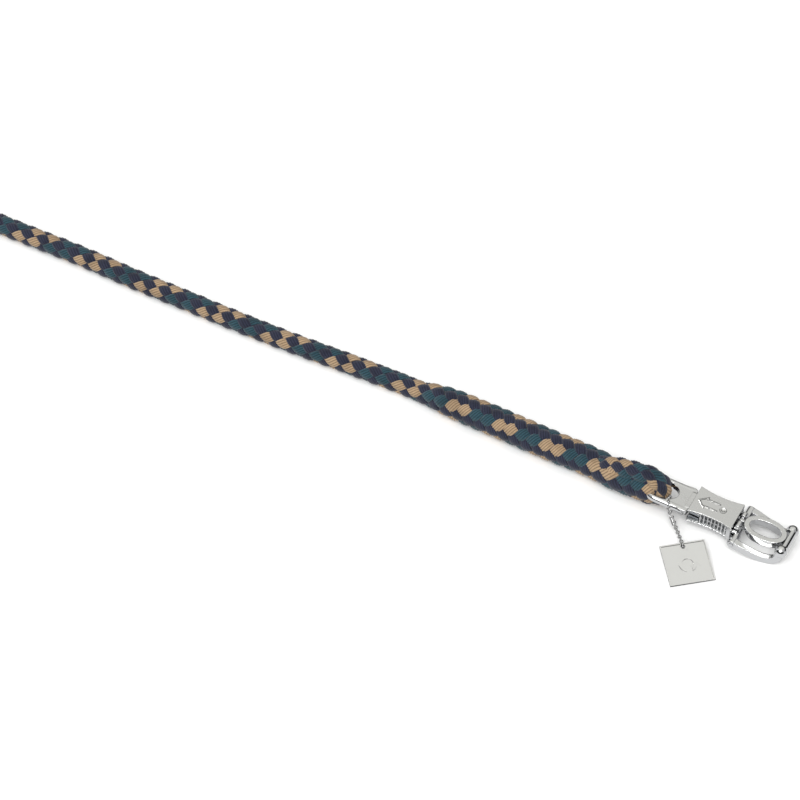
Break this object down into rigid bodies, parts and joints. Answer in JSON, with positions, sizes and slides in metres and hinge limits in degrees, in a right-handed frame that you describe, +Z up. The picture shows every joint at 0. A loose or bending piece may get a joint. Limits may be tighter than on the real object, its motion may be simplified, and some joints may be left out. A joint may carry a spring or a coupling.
{
  "type": "lead rope",
  "caption": "Braided lead rope with a spliced eye on a quick-release snap hook: sliding release sleeve, swing-open hook, sprung gate and a square swing tag on a ball chain.",
  "frame": {"origin": "middle of the box of snap, chain and tag, on the floor that it all lies on", "axes": "+X along the snap towards its nose, +Z up, -Y towards the tag"},
  "size_m": [1.0186, 0.1052, 0.0321],
  "materials": {
    "cast_nickel": "bright nickel plate on a casting",
    "sleeve_nickel": "satin nickel grip plates, bright edges",
    "pin_steel": "plated steel pin",
    "spring_steel": "plain spring wire",
    "chain_nickel": "nickel plated ball chain",
    "tag_nickel": "satin plate with a bright raised rim",
    "rope_braid": "spun fibre braid in tan, teal and navy",
    "tie_leather": "dark leather",
    "whipping_cord": "waxed whipping twine"
  },
  "bodies": {
    "line": {"snap_body": "cast_nickel", "hook_pin": "pin_steel", "gate_pin": "pin_steel", "sleeve_spring": "spring_steel", "gate_spring": "spring_steel", "rope_eye": "rope_braid", "rope_splice": "rope_braid", "rope_run": "rope_braid", "rope_hank": "rope_braid", "hank_tie": "tie_leather", "rope_whipping": "whipping_cord"},
    "sleeve": {"release_sleeve": "sleeve_nickel", "stop_pin": "pin_steel"},
    "hook": {"hook_fork": "cast_nickel"},
    "gate": {"gate_loop": "cast_nickel"},
    "chain": {"chain_beads": "chain_nickel", "chain_links": "chain_nickel", "chain_connector": "chain_nickel"},
    "tag": {"swing_tag": "tag_nickel"}
  },
  "joints": [
    {"name": "sleeve_slide", "type": "slide", "parent": "line", "child": "sleeve", "axis": [-0.9981, 0, 0.061], "range_m": [0, 0.0088], "stiffness_N_per_m": 400, "deforming": ["sleeve_spring"]},
    {"name": "hook_hinge", "type": "hinge", "parent": "line", "child": "hook", "pos_m": [0.01837, 0.02384, 0.00896], "axis": [0, 1, 0], "range_deg": [0, 66]},
    {"name": "gate_hinge", "type": "hinge", "parent": "line", "child": "gate", "pos_m": [0.01773, 0.02384, 0.01481], "axis": [0, 1, 0], "range_deg": [0, 24], "stiffness_Nm_per_rad": 0.06, "springref_deg": -11.46, "deforming": ["gate_spring"]},
    {"name": "chain_swing", "type": "hinge", "parent": "line", "child": "chain", "pos_m": [-0.03577, 0.01444, 0.01488], "axis": [0.9981, 0, -0.061], "range_deg": [-60, 0]},
    {"name": "tag_swing", "type": "hinge", "parent": "chain", "child": "tag", "pos_m": [-0.01176, -0.00956, 0.0058], "axis": [0.7771, 0.6293, 0], "range_deg": [-20, 0]}
  ],
  "couplings": [
    {"joint": "hook_hinge", "follows": "sleeve_slide", "rad_per_m": 130.9}
  ]
}
